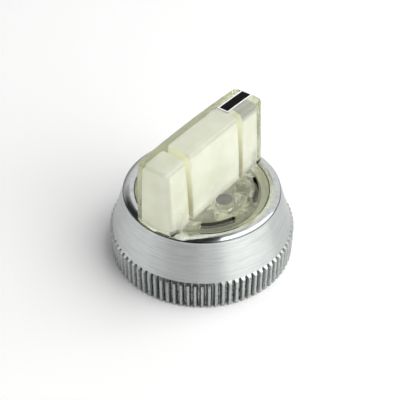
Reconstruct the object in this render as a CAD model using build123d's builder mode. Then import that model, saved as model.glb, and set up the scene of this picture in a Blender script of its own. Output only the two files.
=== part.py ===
from build123d import *
from math import asin, cos, degrees, radians, sin, sqrt
import os

# Selector knob: a clear moulded grip that turns inside a chrome-plated ring nut.
# Millimetres.  Origin: centre of the ring's flat base.  +Z is up, the grip lies
# along Y, and the index mark is at its +Y end.

# ---- ring nut ----
ring_height = 16.7
knurl_height = 7.15
knurl_tip_radius = 21.0
knurl_teeth = 86
knurl_depth = 0.80
groove_mouth = 1.00
groove_floor = 0.35
knurl_chamfer = 0.50
base_chamfer = 0.30
cone_base_radius = 20.4
cone_top_radius = 17.55
rim_drop = 0.30
rim_round = 0.25
bevel_width = 0.95
bevel_drop = 0.22
shelf_depth = 3.0
lip_thickness = 1.6
thread_radius = 15.0
thread_length = 9.2
thread_lead = 0.8
relief_step = 0.4

# ---- flange of the knob ----
flange_radius = 14.85
flange_gap = 0.20
flange_drop = 0.15
flange_web = 1.7
rim_wall = 1.65
seat_gap = 0.05

# ---- grip ----
grip_reach = 17.3
grip_top = 32.9
grip_crown = 0.55
grip_base_half = 4.98
grip_top_half = 3.85
grip_edge_round = 0.7
grip_corner_round = 1.4
overhang_gap = 0.20

# ---- pockets cored up into the grip from below ----
roof_wall = 1.3
side_wall_top = 1.35
side_wall_base = 1.5
end_wall = 1.8
rib_offset = 9.05
rib_thickness = 1.35
rib_draft = 0.4
core_corner = 0.75
core_roof_round = 0.65

# ---- snap legs that hold the knob in the ring ----
leg_radius = 11.7
leg_thickness = 1.1
leg_directions = (-35.5, 35.5, 144.5, 215.5)
leg_span = 32.5
leg_fit = 0.07
hook_reach = 0.72
hook_height = 1.7
hook_gap = 0.12
hook_tip = 0.45
slot_width = 0.9

# ---- stiffening and peg bosses under the flange ----
collar_radius = 10.0
collar_wall = 0.8
collar_depth = 1.6
gusset_inner_radius = 6.8
gusset_directions = (-45, 45, 135, 225)
gusset_width = 2.7
gusset_depth = 2.6
boss_places = ((6.0, 0), (-6.0, 0))
boss_radius = 2.7
boss_depth = 4.2
boss_bore_radius = 1.9
boss_cap = 0.6

# ---- index mark let into the top of the grip ----
index_start = 8.1
index_length = 8.6
index_width = 2.2
index_shift = 0.4
index_margin = 0.3
index_depth = 0.45

# ---- how far a cutting body runs past what it cuts ----
overshoot = 1.0

# Heights and radii that follow from the sizes above
throat_radius = flange_radius + flange_gap
rim_edge_height = ring_height - rim_drop
shelf_top = ring_height - shelf_depth
lip_bottom = shelf_top - lip_thickness
lip_radius = leg_radius + leg_fit
relief_radius = thread_radius + relief_step
flange_top = ring_height - flange_drop
flange_underside = flange_top - flange_web
rim_bottom = shelf_top + seat_gap
rim_inner_radius = flange_radius - rim_wall
overhang_bottom = ring_height + overhang_gap
hook_shoulder = lip_bottom - hook_gap
leg_bottom = hook_shoulder - hook_height
index_centre = index_start + index_length / 2
crown_radius = (grip_reach**2 + grip_crown**2) / (2 * grip_crown)
crown_centre = grip_top - crown_radius
crown_sweep = asin((grip_reach + overshoot) / (rim_bottom - crown_centre))


def between(low_value, high_value, share):
    """Value that lies the given share of the way from the low to the high one."""
    return low_value + (high_value - low_value) * share


def grip_half_width(height):
    """Half width of the drafted grip at a height above the ring's base."""
    return between(grip_base_half, grip_top_half, (height - flange_top) / (grip_top - flange_top))


def side_wall(height):
    """Wall between the grip's side and its pockets, thicker towards the base."""
    return between(side_wall_base, side_wall_top, (height - flange_top) / (grip_top - flange_top))


def crown_height(y):
    """Height of the crowned top over a place along the grip."""
    return crown_centre + sqrt(crown_radius**2 - y**2)


def crown_profile():
    """Side view of the space under the crowned top of the grip, in the YZ plane."""
    end = grip_reach + overshoot
    with BuildSketch(Plane.YZ) as profile:
        with BuildLine():
            ThreePointArc((-end, crown_height(end)), (0, grip_top), (end, crown_height(end)))
            Polyline((end, crown_height(end)), (end, 0), (-end, 0), (-end, crown_height(end)))
        make_face()
    return profile.sketch


def pocket_core(near, far, near_draft, far_draft):
    """Mould core of one pocket: open below, drafted sides, rounded corners and roof edges."""
    mouth = rim_bottom - overshoot
    roof = min(crown_height(near), crown_height(far)) - roof_wall
    foot_half = grip_half_width(mouth) - side_wall(mouth)
    roof_half = grip_half_width(roof) - side_wall(roof)
    near_lean = near_draft * (roof - mouth)
    far_lean = far_draft * (roof - mouth)
    with BuildPart() as core:
        with BuildSketch(Plane.XZ):
            Polygon((-foot_half, mouth), (foot_half, mouth), (roof_half, roof), (-roof_half, roof), align=None)
        extrude(amount=grip_reach, both=True)
        with BuildSketch(Plane.YZ):
            Polygon(
                (near - near_lean, mouth),
                (far + far_lean, mouth),
                (far, roof),
                (near, roof),
                align=None,
            )
        extrude(amount=grip_reach, both=True, mode=Mode.INTERSECT)
        fillet(core.edges().group_by(Axis.Z)[1], core_corner)
        fillet(core.faces().sort_by(Axis.Z)[-1].edges(), core_roof_round)
    return core.part


def leg_arc(radius, direction):
    """Arc about the turning axis, as long as a snap leg, centred on a direction."""
    return CenterArc((0, 0), radius, direction - leg_span / 2, leg_span)


def index_block(length, width):
    """Bar of the index mark, from its floor to above the crown, a little to one side."""
    with BuildPart() as block:
        with BuildSketch(Plane.XY.offset(grip_top - grip_crown - index_depth)):
            with Locations((-index_shift, index_centre)):
                Rectangle(width, length)
        extrude(amount=index_depth + grip_crown + overshoot)
    return block.part


# ---- bezel ring: turned section, knurled base band, thread bore below ----
with BuildPart() as bezel_ring:
    with BuildSketch(Plane.XZ) as section:
        with BuildLine():
            Polyline(
                (thread_radius + thread_lead, 0),
                (knurl_tip_radius - base_chamfer, 0),
                (knurl_tip_radius, base_chamfer),
                (knurl_tip_radius, knurl_height - knurl_chamfer),
                (cone_base_radius, knurl_height),
                (cone_top_radius, rim_edge_height),
            )
            TangentArc(
                (throat_radius + bevel_width, ring_height), (cone_top_radius, rim_edge_height), tangent=(1, 0)
            )
            Polyline(
                (throat_radius + bevel_width, ring_height),
                (throat_radius, ring_height - bevel_drop),
                (throat_radius, shelf_top),
                (lip_radius, shelf_top),
                (lip_radius, lip_bottom),
                (relief_radius, lip_bottom),
                (relief_radius, thread_length),
                (thread_radius, thread_length),
                (thread_radius, thread_lead),
                (thread_radius + thread_lead, 0),
            )
        make_face()
        rim_edge = section.vertices().sort_by_distance((cone_top_radius, rim_edge_height))[0]
        fillet(rim_edge, rim_round)
    revolve(axis=Axis.Z)
    with BuildSketch(Plane.XY):
        with PolarLocations(knurl_tip_radius - knurl_depth, knurl_teeth):
            Polygon(
                (0, -groove_floor / 2),
                (knurl_depth, -groove_mouth / 2),
                (2 * knurl_depth, -groove_mouth / 2),
                (2 * knurl_depth, groove_mouth / 2),
                (knurl_depth, groove_mouth / 2),
                (0, groove_floor / 2),
                align=None,
            )
    extrude(amount=knurl_height, mode=Mode.SUBTRACT)

# ---- knob: one clear moulding of grip, flange, ribs, legs and bosses ----
far_end = grip_reach - end_wall
rib_half = rib_thickness / 2
draft = sin(radians(rib_draft))
cores = [
    pocket_core(-far_end, -rib_offset - rib_half, 0, draft),
    pocket_core(-rib_offset + rib_half, rib_offset - rib_half, draft, draft),
    pocket_core(rib_offset + rib_half, far_end, draft, 0),
]
recess = index_block(index_length + 2 * index_margin, index_width + 2 * index_margin)

with BuildPart() as knob_lens:
    # grip: drafted section swept along the shallow crown
    sweep_start = Plane(
        origin=(0, 0, crown_centre),
        x_dir=(1, 0, 0),
        z_dir=(0, -cos(crown_sweep), -sin(crown_sweep)),
    )
    with BuildSketch(sweep_start) as section:
        with BuildLine():
            Polyline(
                (-grip_half_width(rim_bottom), rim_bottom - crown_centre),
                (grip_half_width(rim_bottom), rim_bottom - crown_centre),
                (grip_top_half, crown_radius),
                (-grip_top_half, crown_radius),
                close=True,
            )
        make_face()
    revolve(axis=Axis((0, 0, crown_centre), (-1, 0, 0)), revolution_arc=2 * degrees(crown_sweep))
    # its ends are cut round about the turning axis, then its corners and top edges rounded
    with BuildSketch(Plane.XY.offset(flange_underside)):
        Circle(grip_reach)
    extrude(amount=grip_top - flange_underside, mode=Mode.INTERSECT)
    for end_face in (knob_lens.faces().sort_by(Axis.Y)[0], knob_lens.faces().sort_by(Axis.Y)[-1]):
        fillet(end_face.edges().sort_by(Axis.Z)[1:-1], grip_corner_round)
    fillet(knob_lens.faces().sort_by(Axis.Z)[-1].edges(), grip_edge_round)
    # relief that lifts the overhanging ends clear of the ring
    with BuildSketch(Plane.XY.offset(flange_underside)):
        Circle(grip_reach + overshoot)
        Circle(flange_radius, mode=Mode.SUBTRACT)
    extrude(amount=overhang_bottom - flange_underside, mode=Mode.SUBTRACT)
    # flange: thin web, pierced over each hook, inside a deeper rim that rests on the ring's shelf
    with BuildSketch(Plane.XY.offset(flange_underside)):
        Circle(flange_radius)
        for direction in leg_directions:
            SlotArc(leg_arc(leg_radius + slot_width / 2, direction), slot_width, mode=Mode.SUBTRACT)
    extrude(amount=flange_web)
    with BuildSketch(Plane.XY.offset(flange_underside)):
        Circle(flange_radius)
        Circle(rim_inner_radius, mode=Mode.SUBTRACT)
    extrude(amount=rim_bottom - flange_underside)
    # collar, gussets and peg bosses that stiffen the web
    with BuildSketch(Plane.XY.offset(flange_underside)):
        Circle(collar_radius)
        Circle(collar_radius - collar_wall, mode=Mode.SUBTRACT)
    extrude(amount=-collar_depth)
    with BuildSketch(Plane.XY.offset(flange_underside)):
        for direction in gusset_directions:
            with Locations(Rotation(0, 0, direction)):
                with Locations(((gusset_inner_radius + leg_radius - leg_thickness / 2) / 2, 0)):
                    Rectangle(leg_radius - leg_thickness / 2 - gusset_inner_radius, gusset_width)
    extrude(amount=-gusset_depth)
    with BuildSketch(Plane.XY.offset(flange_underside)):
        with Locations(*boss_places):
            Circle(boss_radius)
    extrude(amount=-boss_depth)
    # snap legs: curved fingers, each with a hook that catches under the ring's lip
    with BuildSketch(Plane.XY.offset(flange_underside)):
        for direction in leg_directions:
            SlotArc(leg_arc(leg_radius - leg_thickness / 2, direction), leg_thickness)
    extrude(amount=leg_bottom - flange_underside)
    for direction in leg_directions:
        with BuildSketch(Plane.XZ.rotated((0, 0, direction - leg_span / 2))):
            with BuildLine():
                Polyline(
                    (leg_radius - leg_thickness / 2, leg_bottom),
                    (leg_radius + hook_reach - hook_tip, leg_bottom),
                    (leg_radius + hook_reach, leg_bottom + hook_tip),
                    (leg_radius + hook_reach, hook_shoulder),
                    (leg_radius - leg_thickness / 2, hook_shoulder),
                    close=True,
                )
            make_face()
        revolve(axis=Axis.Z, revolution_arc=leg_span)
    with BuildSketch(Plane.XY.offset(flange_underside - boss_depth)):
        with Locations(*boss_places):
            Circle(boss_bore_radius)
    extrude(amount=boss_depth + flange_web - boss_cap, mode=Mode.SUBTRACT)
    for core in cores:
        add(core, mode=Mode.SUBTRACT)
    add(recess, mode=Mode.SUBTRACT)

# ---- index mark: a black bar in a thin white border, flush with the crown ----
with BuildPart() as index_bar:
    add(index_block(index_length, index_width))
    extrude(crown_profile(), amount=grip_reach, both=True, mode=Mode.INTERSECT)

with BuildPart() as index_border:
    add(recess)
    add(index_block(index_length, index_width), mode=Mode.SUBTRACT)
    extrude(crown_profile(), amount=grip_reach, both=True, mode=Mode.INTERSECT)

os.makedirs("parts", exist_ok=True)
for name, piece in (
    ("bezel_ring", bezel_ring),
    ("knob_lens", knob_lens),
    ("index_bar", index_bar),
    ("index_border", index_border),
):
    piece.part.label = name
    export_step(piece.part, f"parts/{name}.step")
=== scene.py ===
from math import radians

import bpy
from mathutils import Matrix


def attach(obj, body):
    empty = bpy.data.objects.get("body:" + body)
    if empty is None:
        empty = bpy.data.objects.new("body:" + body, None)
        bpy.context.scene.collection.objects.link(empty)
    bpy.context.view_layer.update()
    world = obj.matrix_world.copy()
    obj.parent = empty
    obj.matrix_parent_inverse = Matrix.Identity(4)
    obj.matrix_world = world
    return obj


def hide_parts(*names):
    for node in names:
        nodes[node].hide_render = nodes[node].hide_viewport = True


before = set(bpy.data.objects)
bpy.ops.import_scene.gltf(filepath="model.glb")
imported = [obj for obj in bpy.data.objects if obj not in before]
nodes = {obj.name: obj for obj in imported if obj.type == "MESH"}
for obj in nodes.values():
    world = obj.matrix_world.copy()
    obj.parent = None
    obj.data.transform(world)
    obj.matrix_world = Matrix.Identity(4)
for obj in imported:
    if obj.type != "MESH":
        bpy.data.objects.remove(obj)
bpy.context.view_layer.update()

# ---------------------------------------------------------------------------
# Ring nut: turned and knurled, plated in satin chrome, screwed down on the
# switch's bushing.  The cone is brushed round the axis, the rim is brighter
# where hands have polished it, its outer edge has a painted dark reflection,
# and painted shade darkens the knurl's grooves and the seam round the knob.
# ---------------------------------------------------------------------------
def put_node(tree, kind, **settings):
    """A node of that kind, with its input sockets and properties set by name."""
    node = tree.nodes.new(kind)
    for name, value in settings.items():
        if name in node.inputs:
            node.inputs[name].default_value = value
        else:
            setattr(node, name, value)
    return node


def new_material(name):
    """A node material with one Principled shader on its output, ready to be wired."""
    material = bpy.data.materials.new(name)
    material.use_nodes = True
    tree = material.node_tree
    return material, tree, tree.nodes["Principled BSDF"]


def object_place(tree):
    """The shaded point in the object's own metres, whole and split into X, Y and Z."""
    place = put_node(tree, "ShaderNodeTexCoord").outputs["Object"]
    split = put_node(tree, "ShaderNodeSeparateXYZ")
    tree.links.new(place, split.inputs[0])
    return place, split.outputs["X"], split.outputs["Y"], split.outputs["Z"]


def calculate(tree, operation, first, second=None):
    """A sum on one or two values; the second may be a plain number."""
    node = put_node(tree, "ShaderNodeMath", operation=operation)
    tree.links.new(first, node.inputs[0])
    if isinstance(second, float):
        node.inputs[1].default_value = second
    elif second is not None:
        tree.links.new(second, node.inputs[1])
    return node.outputs[0]


def noise(tree, place, **settings):
    """Procedural noise at that place, 0 to 1."""
    node = put_node(tree, "ShaderNodeTexNoise", **settings)
    tree.links.new(place, node.inputs["Vector"])
    return node.outputs["Fac"]


def ramp(tree, value, start=0.0, end=1.0, low=0.0, high=1.0, kind="LINEAR"):
    """That value between start and end, spread from low to high and held outside."""
    node = put_node(tree, "ShaderNodeMapRange", interpolation_type=kind)
    for name, number in (("From Min", start), ("From Max", end),
                         ("To Min", low), ("To Max", high)):
        node.inputs[name].default_value = number
    tree.links.new(value, node.inputs["Value"])
    return node.outputs[0]


def blend_colours(tree, share, first, second):
    """One colour turning into another; each is a colour or a socket."""
    node = put_node(tree, "ShaderNodeMix", data_type="RGBA")
    tree.links.new(share, node.inputs["Factor"])
    for name, colour in (("A", first), ("B", second)):
        if isinstance(colour, tuple):
            node.inputs[name].default_value = colour
        else:
            tree.links.new(colour, node.inputs[name])
    return node.outputs["Result"]


def add_bump(tree, shader, height, strength, distance):
    """Fine surface relief on a shader."""
    bump = put_node(tree, "ShaderNodeBump", Strength=strength, Distance=distance)
    tree.links.new(height, bump.inputs["Height"])
    tree.links.new(bump.outputs[0], shader.inputs["Normal"])


rim_start, rim_full = 0.01600, 0.01618
edge_radius = 0.01740
knurl_bottom, knurl_top, knurl_inside = 0.0002, 0.0070, 0.0180
gap_floor, gap_mouth = 0.0202, 0.0207
seam_radius, seam_bottom = 0.01512, 0.0150
streak_length = 0.0012

chrome, tree, shader = new_material("satin_chrome_plate")
place, x, y, z = object_place(tree)
sum_of_squares = calculate(tree, "ADD", calculate(tree, "POWER", x, 2.0),
                           calculate(tree, "POWER", y, 2.0))
radius = calculate(tree, "SQRT", sum_of_squares)

# Brushing: noise drawn out round the axis
turned = put_node(tree, "ShaderNodeCombineXYZ")
around = calculate(tree, "ARCTAN2", y, x)
tree.links.new(calculate(tree, "MULTIPLY", around, streak_length), turned.inputs["X"])
tree.links.new(radius, turned.inputs["Y"])
tree.links.new(z, turned.inputs["Z"])
brush = noise(tree, turned.outputs[0], Scale=5200.0, Detail=3.0, Roughness=0.6)
streak = noise(tree, turned.outputs[0], Scale=2600.0, Detail=4.0, Roughness=0.75)
rim_zone = ramp(tree, z, rim_start, rim_full, kind="SMOOTHSTEP")
polish = put_node(tree, "ShaderNodeMix", data_type="FLOAT")
polish.inputs["B"].default_value = 0.10
tree.links.new(rim_zone, polish.inputs["Factor"])
tree.links.new(ramp(tree, brush, low=0.22, high=0.42), polish.inputs["A"])
tree.links.new(polish.outputs["Result"], shader.inputs["Roughness"])
add_bump(tree, shader, brush, 0.10, 0.00006)

# Plate: streaked on the cone, stained on the rim, with a painted dark reflection on the outer
# edge
tone = blend_colours(tree, ramp(tree, streak, 0.35, 0.65),
                     (0.42, 0.44, 0.43, 1), (0.54, 0.56, 0.55, 1))
stain = noise(tree, place, Scale=420.0, Detail=5.0, Roughness=0.7)
handled = blend_colours(tree, ramp(tree, stain, 0.40, 0.66),
                        (0.68, 0.70, 0.68, 1), (0.54, 0.57, 0.57, 1))
polished = blend_colours(tree, rim_zone, tone, handled)
# Painted reflection: the rim's outer edge is coloured dark, standing in for the dark room
# mirrored there
arris = calculate(tree, "MULTIPLY", calculate(tree, "GREATER_THAN", radius, edge_radius),
                  calculate(tree, "GREATER_THAN", z, rim_full))
plate_with_painted_edge_reflection = blend_colours(tree, arris, polished, (0.14, 0.16, 0.17, 1))

# Painted shade between the teeth of the knurl and in the seam round the knob, broken up by
# noise; and dark pits on the knurl
knurl_band = calculate(tree, "MULTIPLY", calculate(tree, "LESS_THAN", z, knurl_top),
                       calculate(tree, "GREATER_THAN", z, knurl_bottom))
knurl_zone = calculate(tree, "MULTIPLY", knurl_band,
                       calculate(tree, "GREATER_THAN", radius, knurl_inside))
# Painted shade: the knurl's grooves are coloured dark towards their floor
groove = ramp(tree, radius, gap_floor, gap_mouth, 1.0, 0.0, "SMOOTHSTEP")
knurl_groove_shade = calculate(tree, "MULTIPLY", groove, knurl_zone)
# Painted shadow in the gap between the ring and the knob
seam_gap_shade = calculate(tree, "MULTIPLY", calculate(tree, "LESS_THAN", radius, seam_radius),
                      calculate(tree, "GREATER_THAN", z, seam_bottom))
speck = noise(tree, place, Scale=2400.0, Detail=2.0)
groove_and_seam_shade = calculate(tree, "MULTIPLY", calculate(tree, "MAXIMUM", knurl_groove_shade, seam_gap_shade),
                        ramp(tree, speck, 0.35, 0.62, 0.20, 1.0))
pit = noise(tree, place, Scale=3600.0, Detail=2.0)
pitted = calculate(tree, "MULTIPLY", ramp(tree, pit, 0.56, 0.66, 0.0, 0.70, "SMOOTHSTEP"),
                   knurl_zone)
shade_and_pit_amount = calculate(tree, "MAXIMUM", groove_and_seam_shade, pitted)
# Painted shade in the grooves and seam, and the knurl's pits, take one dark colour
shaded_and_pitted = blend_colours(tree, shade_and_pit_amount, plate_with_painted_edge_reflection, (0.045, 0.050, 0.045, 1))
tree.links.new(shaded_and_pitted, shader.inputs["Base Color"])

shader.inputs["Metallic"].default_value = 1.0
shader.inputs["Anisotropic"].default_value = 0.85
shader.inputs["Anisotropic Rotation"].default_value = 0.25
lay = put_node(tree, "ShaderNodeTangent", direction_type="RADIAL", axis="Z")
tree.links.new(lay.outputs[0], shader.inputs["Tangent"])
nodes["bezel_ring"].data.materials.clear()
nodes["bezel_ring"].data.materials.append(chrome)

# ---------------------------------------------------------------------------
# Thread inside the ring: one fine helical ridge cut in the lower bore, seven
# turns at a pitch of 1 mm, that screws onto the switch's bushing.
# ---------------------------------------------------------------------------
bore_radius = 0.0150
ridge_depth = 0.0006
ridge_pitch = 0.0010
ridge_start = 0.0013
ridge_turns = 7
steps_per_turn = 96
sunk_in_wall = 0.25
bpy.ops.object.select_all(action="DESELECT")
bpy.ops.mesh.primitive_circle_add(vertices=3, radius=ridge_depth, location=(0, 0, 0))
thread = bpy.context.object
thread.name = "ring_thread_ridge"
bpy.ops.object.mode_set(mode="EDIT")
bpy.ops.mesh.select_all(action="SELECT")
bpy.ops.transform.rotate(value=radians(90), orient_axis="X", center_override=(0, 0, 0))
bpy.ops.transform.rotate(value=radians(-90), orient_axis="Y", center_override=(0, 0, 0))
bpy.ops.transform.resize(value=(0.72, 1, 0.92), center_override=(0, 0, 0))
bpy.ops.transform.translate(value=(bore_radius - ridge_depth * sunk_in_wall, 0, ridge_start))
bpy.ops.object.mode_set(mode="OBJECT")
screw = thread.modifiers.new("helix", "SCREW")
screw.angle = radians(360)
screw.steps = steps_per_turn
screw.render_steps = steps_per_turn
screw.iterations = ridge_turns
screw.screw_offset = ridge_pitch
bpy.ops.object.modifier_apply(modifier="helix")
bpy.ops.object.mode_set(mode="EDIT")
bpy.ops.mesh.select_all(action="DESELECT")
bpy.ops.mesh.select_non_manifold()
bpy.ops.mesh.fill()
bpy.ops.mesh.select_all(action="SELECT")
bpy.ops.mesh.normals_make_consistent(inside=False)
bpy.ops.object.mode_set(mode="OBJECT")
bpy.ops.object.shade_smooth_by_angle(angle=radians(30))
thread.data.materials.append(chrome)
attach(thread, "ring")

# ---------------------------------------------------------------------------
# Knob: one clear moulding, yellowed a little with age.  It is polished, dulled
# by fingers on the grip's sides; the three pockets came off a blasted core, so
# they are frosted and cream, with a painted glow.  It is snapped into the ring from above.
# ---------------------------------------------------------------------------
lens = bpy.data.objects.new("clear_knob", nodes["knob_lens"].data.copy())
bpy.context.scene.collection.objects.link(lens)
bpy.ops.object.select_all(action="DESELECT")
lens.select_set(True)
bpy.context.view_layer.objects.active = lens
bpy.ops.object.mode_set(mode="EDIT")
bpy.ops.mesh.select_all(action="SELECT")
bpy.ops.mesh.remove_doubles(threshold=1e-6)
bpy.ops.object.mode_set(mode="OBJECT")
bpy.ops.object.shade_smooth_by_angle(angle=radians(28))

plastic_index = 1.49
aged_tint = (0.86, 0.86, 0.44, 1)
tint_density = 48.0
looks = {}

# Clear plastic: how milky and rough it is on each kind of surface, and the painted glow
# (emission, though it is no lamp) on the underside and seat band
for name, milk, rough, painted_glow in (
    ("aged_clear_plastic", 0.06, 0.02, 0.0),
    ("satin_underside", 0.14, 0.14, 0.05),
    ("seat_band", 0.70, 0.35, 0.12),
    ("handled_side", 0.06, 0.24, 0.0),
):
    looks[name], tree, shader = new_material(name)
    shader.inputs["Base Color"].default_value = (0.97, 0.98, 0.84, 1)
    shader.inputs["Emission Color"].default_value = (0.97, 1.0, 0.78, 1)
    # Painted glow: emission on surfaces that are no lamp
    shader.inputs["Emission Strength"].default_value = painted_glow
    shader.inputs["IOR"].default_value = plastic_index
    shader.inputs["Transmission Weight"].default_value = 1.0 - milk
    place, x, y, z = object_place(tree)
    haze = noise(tree, place, Scale=900.0, Detail=3.0)
    tree.links.new(ramp(tree, haze, low=rough, high=rough + 0.05), shader.inputs["Roughness"])
    tint = put_node(tree, "ShaderNodeVolumeAbsorption", Color=aged_tint, Density=tint_density)
    tree.links.new(tint.outputs[0], tree.nodes["Material Output"].inputs["Volume"])

# Painted shade that shows through the disc: dark colour in the bosses and in the slots
for name, rough, scale, dark, pale in (
    ("painted_shade_in_boss", 0.6, 1200.0, (0.038, 0.046, 0.020, 1), (0.085, 0.098, 0.050, 1)),
    ("painted_shade_in_slot", 0.7, 1800.0, (0.02, 0.02, 0.008, 1), (0.06, 0.06, 0.03, 1)),
):
    looks[name], tree, shader = new_material(name)
    shader.inputs["Roughness"].default_value = rough
    place, x, y, z = object_place(tree)
    mottle = noise(tree, place, Scale=scale, Detail=3.0)
    tree.links.new(blend_colours(tree, mottle, dark, pale), shader.inputs["Base Color"])

# Frosted pocket: cream, clouded, with a painted glow, and painted grey shade where the index
# bar shades its end
bar_shade_start, bar_shade_full = 0.0095, 0.0101
roof_shade_start, roof_shade_full = 0.0292, 0.0310
looks["frosted_pocket"], tree, shader = new_material("frosted_pocket")
shader.inputs["IOR"].default_value = plastic_index
shader.inputs["Roughness"].default_value = 0.6
shader.inputs["Emission Color"].default_value = (1.0, 1.0, 0.94, 1)
# Painted glow: the pocket walls emit a little light, though they are no lamp
shader.inputs["Emission Strength"].default_value = 0.19
place, x, y, z = object_place(tree)
cloud = noise(tree, place, Scale=190.0, Detail=2.0)
cream = blend_colours(tree, ramp(tree, cloud, 0.35, 0.65),
                      (0.73, 0.75, 0.73, 1), (0.82, 0.84, 0.87, 1))
bar_shade = calculate(tree, "MULTIPLY",
                      ramp(tree, y, bar_shade_start, bar_shade_full, kind="SMOOTHSTEP"),
                      ramp(tree, z, roof_shade_start, roof_shade_full, kind="SMOOTHSTEP"))
tree.links.new(blend_colours(tree, bar_shade, cream, (0.24, 0.25, 0.25, 1)),
               shader.inputs["Base Color"])
add_bump(tree, shader, noise(tree, place, Scale=2600.0, Detail=4.0), 0.2, 0.00005)
tint = put_node(tree, "ShaderNodeVolumeAbsorption", Color=aged_tint, Density=tint_density)
tree.links.new(tint.outputs[0], tree.nodes["Material Output"].inputs["Volume"])

# Rib walls: painted shade, darker amber low down and pale at the top, with a painted glow
amber_below, pale_above = 0.0160, 0.0300
looks["rib_wall"], tree, shader = new_material("rib_wall")
shader.inputs["Roughness"].default_value = 0.5
place, x, y, z = object_place(tree)
# Painted shade: the rib walls darken towards the bottom of the gap
rib_shaded_tone = blend_colours(tree, ramp(tree, z, amber_below, pale_above),
                      (0.50, 0.47, 0.30, 1), (0.95, 0.96, 0.85, 1))
tree.links.new(rib_shaded_tone, shader.inputs["Base Color"])
# Painted glow: the rib walls emit their own shaded tone
tree.links.new(rib_shaded_tone, shader.inputs["Emission Color"])
shader.inputs["Emission Strength"].default_value = 0.18

# Each face of the moulding takes its look from where it lies on the knob
flange_top = 0.01655
flange_underside = 0.01485
grip_top = 0.0329
pocket_half_base, pocket_half_top = 0.00348, 0.00250
pocket_reach = 0.01575
pocket_bottom, pocket_roof = 0.0140, 0.0318
rib_offset, rib_band = 0.00905, 0.0011
slot_inner, slot_outer = 0.0117, 0.0126
boss_offset, boss_band = 0.0060, 0.0019
rim_inner = 0.0133
rim_bottom = 0.01375
surface_kinds = ("aged_clear_plastic", "frosted_pocket", "satin_underside", "painted_shade_in_slot",
                 "rib_wall", "seat_band", "painted_shade_in_boss", "handled_side")
lens.data.materials.clear()
for kind in surface_kinds:
    lens.data.materials.append(looks[kind])
for face in lens.data.polygons:
    x, y, z = face.center
    reach = (x**2 + y**2) ** 0.5
    top = max(lens.data.vertices[i].co.z for i in face.vertices)
    upright = abs(face.normal.z) < 0.3
    faces_down = face.normal.z < -0.9
    share = (z - flange_top) / (grip_top - flange_top)
    pocket_half = pocket_half_base + (pocket_half_top - pocket_half_base) * share
    in_pocket = (abs(x) < pocket_half + 0.00004 and abs(y) < pocket_reach
                 and pocket_bottom < z < pocket_roof)
    if in_pocket and abs(face.normal.y) > 0.8 and abs(abs(y) - rib_offset) < rib_band:
        kind = "rib_wall"
    elif in_pocket:
        kind = "frosted_pocket"
    # Painted shade: the slot walls and the bosses' undersides take the dark colours
    elif (upright and z < flange_top and top > flange_underside + 0.0005
          and slot_inner - 0.0001 < reach < slot_outer + 0.0001):
        kind = "painted_shade_in_slot"
    elif faces_down and z > flange_underside + 0.0003 and abs(abs(x) - boss_offset) < boss_band:
        kind = "painted_shade_in_boss"
    elif faces_down and abs(z - rim_bottom) < 0.0001 and reach > rim_inner:
        kind = "seat_band"
    elif z < flange_underside + 0.00005 and reach < rim_inner:
        kind = "satin_underside"
    elif abs(face.normal.x) > 0.95 and z > flange_top + 0.0003:
        kind = "handled_side"
    else:
        kind = "aged_clear_plastic"
    face.material_index = surface_kinds.index(kind)
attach(lens, "knob")
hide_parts("knob_lens")

# ---------------------------------------------------------------------------
# Index mark: a black bar hot-stamped into its recess, inside a thin white
# border that was filled first.
# ---------------------------------------------------------------------------
for node_name, ink_name, dark, pale in (
    ("index_bar", "black_fill", (0.002, 0.002, 0.002, 1), (0.005, 0.005, 0.004, 1)),
    ("index_border", "white_fill", (0.95, 0.95, 0.94, 1), (0.99, 0.99, 0.98, 1)),
):
    ink, tree, shader = new_material(ink_name)
    shader.inputs["Roughness"].default_value = 0.55
    shader.inputs["Specular IOR Level"].default_value = 0.05
    place, x, y, z = object_place(tree)
    mottle = noise(tree, place, Scale=1500.0, Detail=3.0)
    tree.links.new(blend_colours(tree, mottle, dark, pale), shader.inputs["Base Color"])
    add_bump(tree, shader, mottle, 0.15, 0.00003)
    nodes[node_name].data.materials.clear()
    nodes[node_name].data.materials.append(ink)

# ---------------------------------------------------------------------------
# Studio: a white paper floor, a large soft lamp high on the right, a pale
# room with darker and brighter sides, and the camera above the front right.
# ---------------------------------------------------------------------------
bpy.ops.object.select_all(action="DESELECT")
bpy.ops.mesh.primitive_plane_add(size=12.0, location=(0, 0, 0))
floor = bpy.context.object
floor.name = "paper_floor"
paper, tree, shader = new_material("white_paper")
shader.inputs["Base Color"].default_value = (0.99, 0.99, 0.985, 1)
shader.inputs["Roughness"].default_value = 0.9
shader.inputs["Specular IOR Level"].default_value = 0.2

# Far from the object the paper is seen and mirrored as plain white
fade_start, fade_end = 0.22, 0.80
place, x, y, z = object_place(tree)
away = put_node(tree, "ShaderNodeVectorMath", operation="LENGTH")
tree.links.new(place, away.inputs[0])
far = ramp(tree, away.outputs["Value"], fade_start, fade_end, kind="SMOOTHSTEP")
path = put_node(tree, "ShaderNodeLightPath")
seen = path.outputs["Is Camera Ray"]
for ray in ("Is Glossy Ray", "Is Transmission Ray"):
    seen = calculate(tree, "MAXIMUM", seen, path.outputs[ray])
plain_white = put_node(tree, "ShaderNodeEmission", Color=(1.0, 1.0, 1.0, 1), Strength=1.0)
sweep = put_node(tree, "ShaderNodeMixShader")
tree.links.new(calculate(tree, "MULTIPLY", far, seen), sweep.inputs[0])
tree.links.new(shader.outputs[0], sweep.inputs[1])
tree.links.new(plain_white.outputs[0], sweep.inputs[2])
tree.links.new(sweep.outputs[0], tree.nodes["Material Output"].inputs["Surface"])
floor.data.materials.append(paper)

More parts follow.
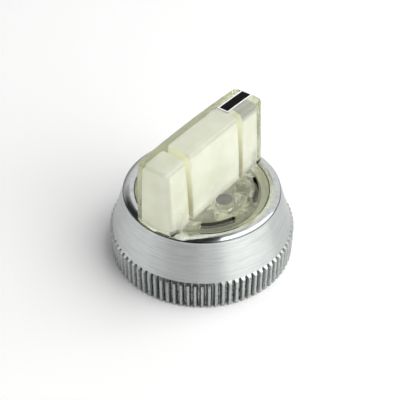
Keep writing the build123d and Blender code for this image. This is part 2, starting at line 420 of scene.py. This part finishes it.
# Room: brighter towards the horizon, with six zones round one direction each,
# whose cosine limits and factor follow the direction
world = bpy.data.worlds.new("pale_room")
bpy.context.scene.world = world
world.use_nodes = True
tree = world.node_tree
room = tree.nodes["Background"]
way = put_node(tree, "ShaderNodeTexCoord").outputs["Generated"]
height = put_node(tree, "ShaderNodeSeparateXYZ")
tree.links.new(way, height.inputs[0])
level = ramp(tree, height.outputs["Z"], 0.08, 0.30, 1.50, 0.85, "SMOOTHSTEP")
for direction, inner, outer, factor in (
    ((-0.45, 0.10, 0.88), 0.93, 0.84, 0.04),
    ((0.30, -0.57, 0.77), 0.90, 0.75, 0.06),
    ((0.25, -0.95, 0.15), 0.97, 0.88, 0.25),
    ((0.99, 0.10, 0.05), 0.92, 0.75, 3.0),
    ((-0.75, -0.66, 0.05), 0.96, 0.84, 1.8),
    ((-0.96, 0.25, 0.10), 0.94, 0.80, 0.4),
):
    turn = put_node(tree, "ShaderNodeVectorMath", operation="DOT_PRODUCT")
    turn.inputs[1].default_value = direction
    tree.links.new(way, turn.inputs[0])
    zone = ramp(tree, turn.outputs["Value"], outer, inner, 1.0, factor, "SMOOTHSTEP")
    level = calculate(tree, "MULTIPLY", level, zone)
tree.links.new(level, room.inputs["Strength"])
room.inputs["Color"].default_value = (1.0, 1.0, 1.0, 1)

lamp_data = bpy.data.lights.new("soft_lamp", "AREA")
lamp_data.shape = "RECTANGLE"
lamp_data.size = 0.62
lamp_data.size_y = 0.92
lamp_data.energy = 3.1
lamp = bpy.data.objects.new("soft_lamp", lamp_data)
lamp.location = (0.36, 0.13, 0.48)
lamp.rotation_euler = (0, radians(36.4), radians(42.7))
bpy.context.scene.collection.objects.link(lamp)

camera_data = bpy.data.cameras.new("camera")
camera_data.lens = 76.73
camera_data.sensor_width = 36.0
camera_data.clip_start = 0.01
camera = bpy.data.objects.new("camera", camera_data)
camera.location = (0.0868, -0.1138, 0.1400)
camera.rotation_euler = (radians(90 - 41.66), 0, radians(37.5))
bpy.context.scene.collection.objects.link(camera)
bpy.context.scene.camera = camera
bpy.context.scene.view_settings.view_transform = "Standard"

bpy.context.view_layer.update()
